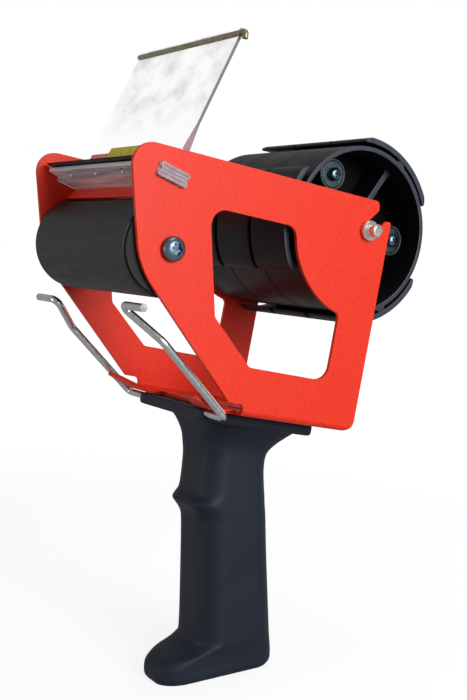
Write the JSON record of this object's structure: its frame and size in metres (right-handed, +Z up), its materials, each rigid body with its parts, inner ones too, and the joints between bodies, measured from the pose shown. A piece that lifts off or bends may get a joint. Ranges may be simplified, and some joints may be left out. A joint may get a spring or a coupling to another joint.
{
  "type": "hand tape dispenser",
  "caption": "Hand-held dispenser for wide parcel tape: folded steel frame on a moulded grip, core drum with spring fingers, press roller, toothed cutter, lift-up clear flap and wire bail.",
  "frame": {"origin": "centre of the grip's flat foot, on the floor", "axes": "+Z up, -Y towards the cutter, X along the roller and the drum axle"},
  "size_m": [0.1006, 0.1448, 0.2615],
  "materials": {
    "red_sheet": "satin powder coat",
    "black_grip": "satin moulded",
    "clear_plastic": "clear moulded plastic",
    "blade_steel": "dark hardened strip",
    "roller_rubber": "matt",
    "drum_black": "satin moulded",
    "brown_rod": "dull",
    "label_paper": "printed film",
    "zinc_wire": "zinc plated",
    "bright_steel": "bright"
  },
  "bodies": {
    "frame": {"sheet_frame": "red_sheet", "tape_guide": "red_sheet", "blade_holder": "clear_plastic", "cutter_blade": "blade_steel", "blade_pin_1": "bright_steel", "blade_pin_2": "bright_steel", "blade_pin_3": "bright_steel", "flap_hinge_rod": "bright_steel", "roller_axle": "bright_steel", "roller_screw_right": "bright_steel", "roller_screw_left": "bright_steel", "handle": "black_grip", "handle_screw_1": "bright_steel", "handle_screw_2": "bright_steel", "handle_screw_3": "bright_steel", "handle_screw_4": "bright_steel"},
    "roller": {"roller_sleeve": "roller_rubber", "roller_core": "bright_steel", "roller_cap_right": "drum_black", "roller_cap_left": "drum_black"},
    "axle": {"drum_axle": "bright_steel", "brake_washer": "bright_steel", "brake_spring": "bright_steel", "brake_nut": "bright_steel"},
    "drum": {"drum_section_left": "drum_black", "drum_section_middle": "drum_black", "drum_section_right": "drum_black", "drum_screw_1": "bright_steel", "drum_screw_2": "bright_steel", "drum_screw_3": "bright_steel", "drum_washer_1": "bright_steel", "drum_washer_2": "bright_steel", "drum_washer_3": "bright_steel", "drum_screw_nut_1": "bright_steel", "drum_screw_nut_2": "bright_steel", "drum_screw_nut_3": "bright_steel"},
    "flap": {"clear_flap": "clear_plastic", "flap_rod": "brown_rod", "label_strip": "label_paper"},
    "bail": {"wire_bail": "zinc_wire"}
  },
  "joints": [
    {"name": "roller_spin", "type": "hinge", "parent": "frame", "child": "roller", "pos_m": [0, -0.04866, 0.18089], "axis": [1, 0, 0], "continuous": true},
    {"name": "axle_lift", "type": "slide", "parent": "frame", "child": "axle", "axis": [0, 0.809, 0.5878], "range_m": [0, 0.02]},
    {"name": "drum_spin", "type": "hinge", "parent": "axle", "child": "drum", "pos_m": [0, 0.04278, 0.18642], "axis": [1, 0, 0], "continuous": true},
    {"name": "flap_swing", "type": "hinge", "parent": "frame", "child": "flap", "pos_m": [0, -0.04297, 0.21162], "axis": [1, 0, 0], "range_deg": [-50, 92]},
    {"name": "bail_swing", "type": "hinge", "parent": "frame", "child": "bail", "pos_m": [0, -0.02391, 0.11598], "axis": [1, 0, 0], "range_deg": [-3, 60]}
  ]
}
